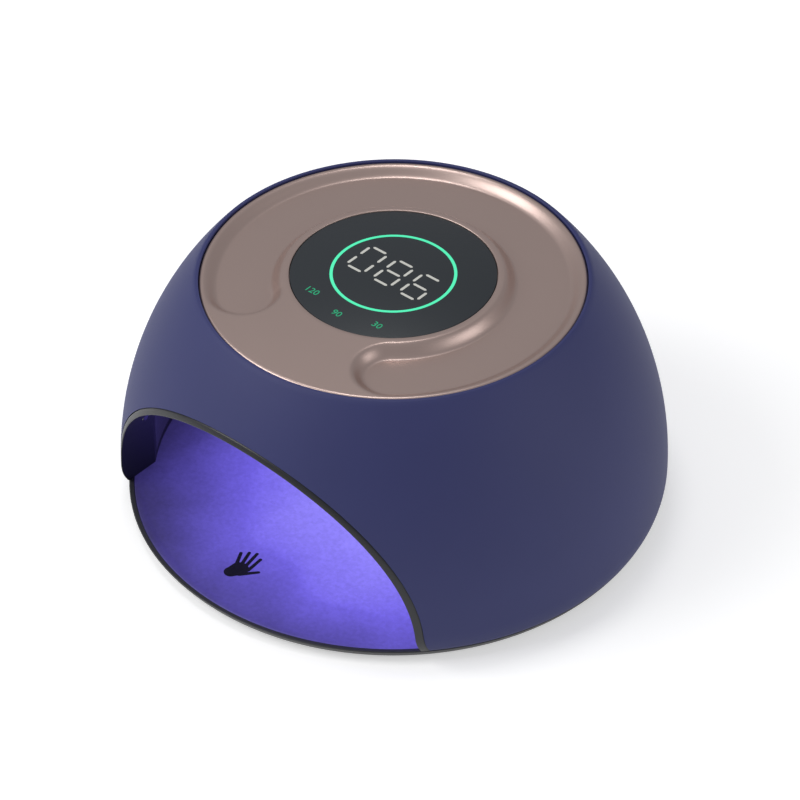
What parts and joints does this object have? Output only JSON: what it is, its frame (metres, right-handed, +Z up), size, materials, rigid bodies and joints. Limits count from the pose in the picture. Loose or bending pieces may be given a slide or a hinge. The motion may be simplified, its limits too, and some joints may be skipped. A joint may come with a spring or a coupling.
{
  "type": "uv led nail lamp",
  "caption": "Dome-shaped nail curing lamp with an arched hand opening, a round touch display in a metallic top cover, and a lamp head that lifts off a magnetic base tray.",
  "frame": {"origin": "on the table plane, under the axis of the dome", "axes": "+Z up along the dome's axis, -Y out through the hand opening, +Y towards the DC inlet, +X to the right for a user who faces the opening"},
  "size_m": [0.206, 0.2036, 0.1002],
  "materials": {
    "navy_shell": "soft-touch matt",
    "black_trim": "satin",
    "black_plastic": "fine texture",
    "base_black": "fine texture",
    "magnet": "nickel plated",
    "screw_steel": "zinc plated",
    "silver_lining": "satin silver, reflective",
    "led_lens": "clear violet-tinted",
    "bare_aluminium": "bare",
    "white_board": "white solder mask",
    "brass_post": "turned",
    "green_board": "green solder mask",
    "display_module": "black face",
    "ring_light": "lit green",
    "grey_pad": "soft",
    "ferrite": "sintered",
    "capacitor_can": "sleeved",
    "lead_sleeve": "smooth",
    "sensor_lens": "dark clear",
    "rose_metallic": "rose-champagne satin metallic",
    "smoked_window": "smoked, gloss",
    "tray_steel": "satin, speckled",
    "foot_rubber": "matt"
  },
  "bodies": {
    "base": {"base_plate": "base_black", "base_tray": "tray_steel", "rubber_feet": "foot_rubber"},
    "head": {"outer_shell": "navy_shell", "arch_trim": "black_trim", "chassis_ring": "black_plastic", "head_magnets": "magnet", "chassis_screws": "screw_steel", "inner_lining": "silver_lining", "ceiling_leds": "led_lens", "wall_leds": "led_lens", "wall_led_strip": "bare_aluminium", "ceiling_led_board": "white_board", "heat_spreader": "bare_aluminium", "board_screws": "screw_steel", "board_standoffs": "brass_post", "control_board": "green_board", "digit_display": "display_module", "ring_light_guide": "ring_light", "touch_springs": "screw_steel", "buzzer": "black_plastic", "thermal_pad": "grey_pad", "driver_board": "green_board", "driver_inductor": "ferrite", "driver_capacitors": "capacitor_can", "dc_inlet": "black_plastic", "inlet_leads": "lead_sleeve", "sensor_emitter": "sensor_lens", "sensor_receiver": "sensor_lens", "top_cover": "rose_metallic", "cover_screws": "screw_steel", "display_window": "smoked_window"}
  },
  "joints": [
    {"name": "head_lift", "type": "slide", "parent": "base", "child": "head", "axis": [0, 0, 1], "range_m": [0, 0.12]}
  ]
}
